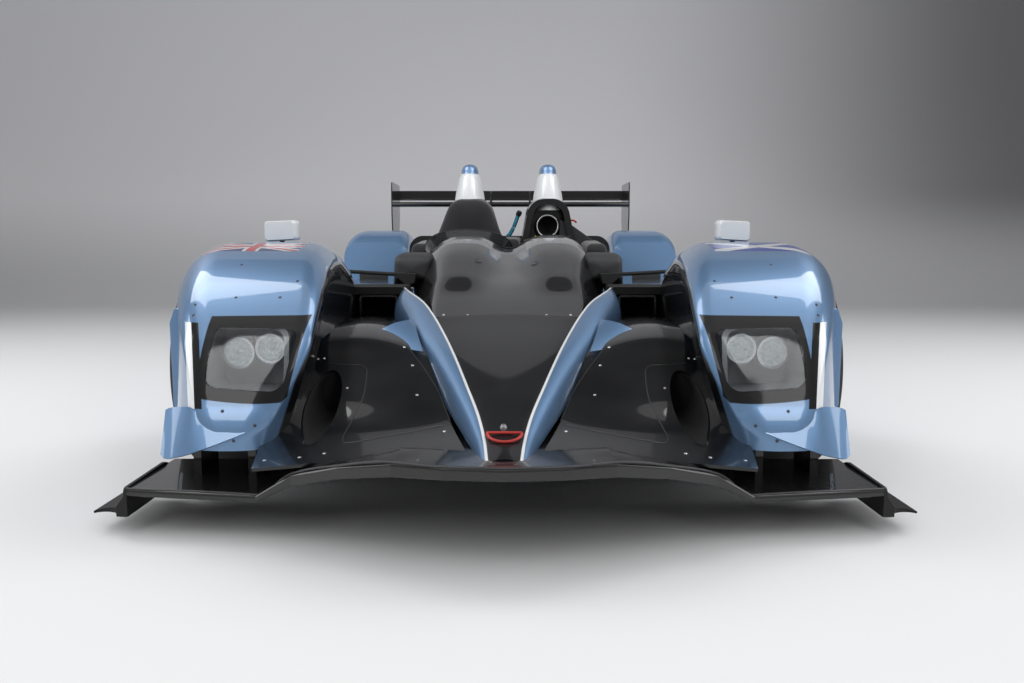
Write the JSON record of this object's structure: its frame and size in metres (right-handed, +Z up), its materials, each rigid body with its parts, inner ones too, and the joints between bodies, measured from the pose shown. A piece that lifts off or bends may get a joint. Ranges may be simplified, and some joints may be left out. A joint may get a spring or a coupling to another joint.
{
  "type": "sports prototype race car",
  "caption": "Open-cockpit sports prototype race car with pod-shaped wings over the wheels, a gull-wing splitter, twin hoop fins and a rear wing; the wheels roll and the front ones steer.",
  "frame": {"origin": "centre of the car's length and width, on the ground", "axes": "+X to the car's left, -Y towards the nose, +Z up"},
  "size_m": [2, 4.62, 1.1077],
  "materials": {
    "arm_steel": "black-coated steel tube",
    "body_black": "gloss black clear-coated paint",
    "body_blue": "light metallic blue clear-coated paint",
    "body_white": "gloss white paint",
    "carbon": "lacquered carbon-fibre weave",
    "cast_alloy": "cast and machined alloy",
    "clear_cover": "clear moulded cover",
    "grip": "suede-covered grips",
    "lamp_metal": "bright lamp reflectors in a dark tray",
    "red_lens": "red lamp lens",
    "skid_wood": "laminated wood skid",
    "tyre": "slick tread rubber",
    "wheel_alloy": "dark satin forged alloy"
  },
  "bodies": {
    "chassis": {"cockpit_cowl": "body_black", "cockpit_ears": "carbon", "crash_structure": "carbon", "dashboard": "carbon", "deck_canards": "body_blue", "diffuser": "carbon", "dive_planes": "body_blue", "driver_chair": "carbon", "engine_block": "cast_alloy", "engine_cover": "body_black", "floor": "carbon", "front_decks": "body_black", "front_fender_left": "body_blue", "front_fender_right": "body_blue", "front_splitter": "carbon", "front_wishbones": "arm_steel", "gearbox": "cast_alloy", "headlight_covers": "clear_cover", "headlight_units": "lamp_metal", "headrest_fairing": "body_black", "hoop_fins": "body_white", "intake_fairing": "body_black", "mirrors": "body_white", "monocoque": "carbon", "nose_cone": "body_black", "nose_strakes": "body_blue", "radiators": "cast_alloy", "rear_fender_left": "body_blue", "rear_fender_right": "body_blue", "rear_uprights": "cast_alloy", "rear_wishbones": "arm_steel", "sidepod_left": "body_black", "sidepod_right": "body_black", "skid_block": "skid_wood", "splitter_endplates": "carbon", "tail_lamps": "red_lens", "windscreen": "clear_cover", "wing_endplates": "carbon", "wing_planes": "carbon", "wing_pylons": "carbon"},
    "knuckle_body_left": {"knuckle_left": "cast_alloy"},
    "wheel_front_left": {"front_tyre_left": "tyre", "front_rim_left": "wheel_alloy"},
    "wheel_rear_left": {"rear_tyre_left": "tyre", "rear_rim_left": "wheel_alloy"},
    "knuckle_body_right": {"knuckle_right": "cast_alloy"},
    "wheel_front_right": {"front_tyre_right": "tyre", "front_rim_right": "wheel_alloy"},
    "wheel_rear_right": {"rear_tyre_right": "tyre", "rear_rim_right": "wheel_alloy"},
    "rack_body": {"steering_rack": "arm_steel"},
    "steering_wheel_body": {"steering_wheel": "grip"}
  },
  "joints": [
    {"name": "steer_left", "type": "hinge", "parent": "chassis", "child": "knuckle_body_left", "pos_m": [0.712, -1.31, 0.33], "axis": [0, 0, 1], "range_deg": [-14, 14]},
    {"name": "spin_front_left", "type": "hinge", "parent": "knuckle_body_left", "child": "wheel_front_left", "pos_m": [0.808, -1.31, 0.33], "axis": [1, 0, 0], "continuous": true},
    {"name": "spin_rear_left", "type": "hinge", "parent": "chassis", "child": "wheel_rear_left", "pos_m": [0.793, 1.56, 0.355], "axis": [1, 0, 0], "continuous": true},
    {"name": "steer_right", "type": "hinge", "parent": "chassis", "child": "knuckle_body_right", "pos_m": [-0.712, -1.31, 0.33], "axis": [0, 0, 1], "range_deg": [-14, 14]},
    {"name": "spin_front_right", "type": "hinge", "parent": "knuckle_body_right", "child": "wheel_front_right", "pos_m": [-0.808, -1.31, 0.33], "axis": [1, 0, 0], "continuous": true},
    {"name": "spin_rear_right", "type": "hinge", "parent": "chassis", "child": "wheel_rear_right", "pos_m": [-0.793, 1.56, 0.355], "axis": [1, 0, 0], "continuous": true},
    {"name": "rack_slide", "type": "slide", "parent": "chassis", "child": "rack_body", "axis": [1, 0, 0], "range_m": [-0.0275, 0.0275]},
    {"name": "steering_wheel_turn", "type": "hinge", "parent": "chassis", "child": "steering_wheel_body", "pos_m": [-0.205, -0.33, 0.5], "axis": [0, 0.9511, 0.309], "range_deg": [-142, 142]}
  ],
  "couplings": [
    {"joint": "steer_right", "follows": "steer_left", "ratio": 1},
    {"joint": "rack_slide", "follows": "steer_left", "m_per_rad": -0.1095},
    {"joint": "steering_wheel_turn", "follows": "steer_left", "ratio": 10}
  ]
}
